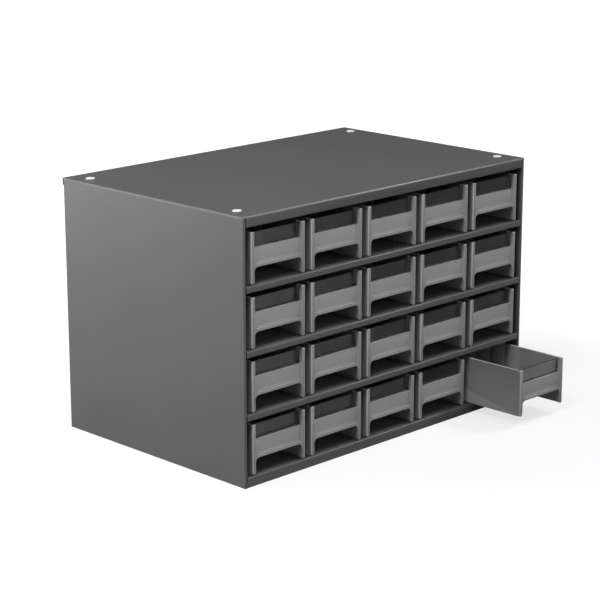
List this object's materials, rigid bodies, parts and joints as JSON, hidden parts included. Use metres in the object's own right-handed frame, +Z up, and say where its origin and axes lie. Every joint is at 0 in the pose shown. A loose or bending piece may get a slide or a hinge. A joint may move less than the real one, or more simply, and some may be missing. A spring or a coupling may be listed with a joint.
{
  "type": "drill bit drawer case",
  "caption": "Free-standing sheet steel cabinet with a grid of small moulded drawers that slide out one by one; buttons on top seat in the base of a second case.",
  "frame": {"origin": "centre of the case's footprint, on the surface it stands on; also the centre of the four stacking holes", "axes": "+X along the width, to the right of someone facing the drawers; +Y from the drawers' front to the back, so drawers open towards -Y; +Z up"},
  "size_m": [0.4318, 0.3524, 0.2804],
  "materials": {
    "case_paint": "dark grey powder coat, satin, fine texture",
    "drawer_plastic": "moulded dark grey plastic, satin",
    "window_clear": "clear sheet plastic, smooth and polished, faint grey tint",
    "button_nylon": "white nylon, smooth"
  },
  "bodies": {
    "case": {"top_panel": "case_paint", "left_side_panel": "case_paint", "right_side_panel": "case_paint", "back_panel": "case_paint", "bottom_deck": "case_paint", "shelf_1": "case_paint", "shelf_2": "case_paint", "shelf_3": "case_paint", "guides_r1": "case_paint", "guides_r2": "case_paint", "guides_r3": "case_paint", "guides_r4": "case_paint", "stacking_button_1": "button_nylon", "stacking_button_2": "button_nylon", "stacking_button_3": "button_nylon", "stacking_button_4": "button_nylon"},
    "drawer_r1_c1": {"drawer_r1_c1": "drawer_plastic", "window_r1_c1": "window_clear"},
    "drawer_r1_c2": {"drawer_r1_c2": "drawer_plastic", "window_r1_c2": "window_clear"},
    "drawer_r1_c3": {"drawer_r1_c3": "drawer_plastic", "window_r1_c3": "window_clear"},
    "drawer_r1_c4": {"drawer_r1_c4": "drawer_plastic", "window_r1_c4": "window_clear"},
    "drawer_r1_c5": {"drawer_r1_c5": "drawer_plastic", "window_r1_c5": "window_clear"},
    "drawer_r2_c1": {"drawer_r2_c1": "drawer_plastic", "window_r2_c1": "window_clear"},
    "drawer_r2_c2": {"drawer_r2_c2": "drawer_plastic", "window_r2_c2": "window_clear"},
    "drawer_r2_c3": {"drawer_r2_c3": "drawer_plastic", "window_r2_c3": "window_clear"},
    "drawer_r2_c4": {"drawer_r2_c4": "drawer_plastic", "window_r2_c4": "window_clear"},
    "drawer_r2_c5": {"drawer_r2_c5": "drawer_plastic", "window_r2_c5": "window_clear"},
    "drawer_r3_c1": {"drawer_r3_c1": "drawer_plastic", "window_r3_c1": "window_clear"},
    "drawer_r3_c2": {"drawer_r3_c2": "drawer_plastic", "window_r3_c2": "window_clear"},
    "drawer_r3_c3": {"drawer_r3_c3": "drawer_plastic", "window_r3_c3": "window_clear"},
    "drawer_r3_c4": {"drawer_r3_c4": "drawer_plastic", "window_r3_c4": "window_clear"},
    "drawer_r3_c5": {"drawer_r3_c5": "drawer_plastic", "window_r3_c5": "window_clear"},
    "drawer_r4_c1": {"drawer_r4_c1": "drawer_plastic", "window_r4_c1": "window_clear"},
    "drawer_r4_c2": {"drawer_r4_c2": "drawer_plastic", "window_r4_c2": "window_clear"},
    "drawer_r4_c3": {"drawer_r4_c3": "drawer_plastic", "window_r4_c3": "window_clear"},
    "drawer_r4_c4": {"drawer_r4_c4": "drawer_plastic", "window_r4_c4": "window_clear"},
    "drawer_r4_c5": {"drawer_r4_c5": "drawer_plastic", "window_r4_c5": "window_clear"}
  },
  "joints": [
    {"name": "drawer_r1_c1_slide", "type": "slide", "parent": "case", "child": "drawer_r1_c1", "axis": [0, -1, 0], "range_m": [0, 0.2618]},
    {"name": "drawer_r1_c2_slide", "type": "slide", "parent": "case", "child": "drawer_r1_c2", "axis": [0, -1, 0], "range_m": [0, 0.2618]},
    {"name": "drawer_r1_c3_slide", "type": "slide", "parent": "case", "child": "drawer_r1_c3", "axis": [0, -1, 0], "range_m": [0, 0.2618]},
    {"name": "drawer_r1_c4_slide", "type": "slide", "parent": "case", "child": "drawer_r1_c4", "axis": [0, -1, 0], "range_m": [0, 0.2618]},
    {"name": "drawer_r1_c5_slide", "type": "slide", "parent": "case", "child": "drawer_r1_c5", "axis": [0, -1, 0], "range_m": [0, 0.2618]},
    {"name": "drawer_r2_c1_slide", "type": "slide", "parent": "case", "child": "drawer_r2_c1", "axis": [0, -1, 0], "range_m": [0, 0.2618]},
    {"name": "drawer_r2_c2_slide", "type": "slide", "parent": "case", "child": "drawer_r2_c2", "axis": [0, -1, 0], "range_m": [0, 0.2618]},
    {"name": "drawer_r2_c3_slide", "type": "slide", "parent": "case", "child": "drawer_r2_c3", "axis": [0, -1, 0], "range_m": [0, 0.2618]},
    {"name": "drawer_r2_c4_slide", "type": "slide", "parent": "case", "child": "drawer_r2_c4", "axis": [0, -1, 0], "range_m": [0, 0.2618]},
    {"name": "drawer_r2_c5_slide", "type": "slide", "parent": "case", "child": "drawer_r2_c5", "axis": [0, -1, 0], "range_m": [0, 0.2618]},
    {"name": "drawer_r3_c1_slide", "type": "slide", "parent": "case", "child": "drawer_r3_c1", "axis": [0, -1, 0], "range_m": [0, 0.2618]},
    {"name": "drawer_r3_c2_slide", "type": "slide", "parent": "case", "child": "drawer_r3_c2", "axis": [0, -1, 0], "range_m": [0, 0.2618]},
    {"name": "drawer_r3_c3_slide", "type": "slide", "parent": "case", "child": "drawer_r3_c3", "axis": [0, -1, 0], "range_m": [0, 0.2618]},
    {"name": "drawer_r3_c4_slide", "type": "slide", "parent": "case", "child": "drawer_r3_c4", "axis": [0, -1, 0], "range_m": [0, 0.2618]},
    {"name": "drawer_r3_c5_slide", "type": "slide", "parent": "case", "child": "drawer_r3_c5", "axis": [0, -1, 0], "range_m": [0, 0.2618]},
    {"name": "drawer_r4_c1_slide", "type": "slide", "parent": "case", "child": "drawer_r4_c1", "axis": [0, -1, 0], "range_m": [0, 0.2618]},
    {"name": "drawer_r4_c2_slide", "type": "slide", "parent": "case", "child": "drawer_r4_c2", "axis": [0, -1, 0], "range_m": [0, 0.2618]},
    {"name": "drawer_r4_c3_slide", "type": "slide", "parent": "case", "child": "drawer_r4_c3", "axis": [0, -1, 0], "range_m": [0, 0.2618]},
    {"name": "drawer_r4_c4_slide", "type": "slide", "parent": "case", "child": "drawer_r4_c4", "axis": [0, -1, 0], "range_m": [0, 0.2618]},
    {"name": "drawer_r4_c5_slide", "type": "slide", "parent": "case", "child": "drawer_r4_c5", "axis": [0, -1, 0], "range_m": [-0.073, 0.1888]}
  ]
}
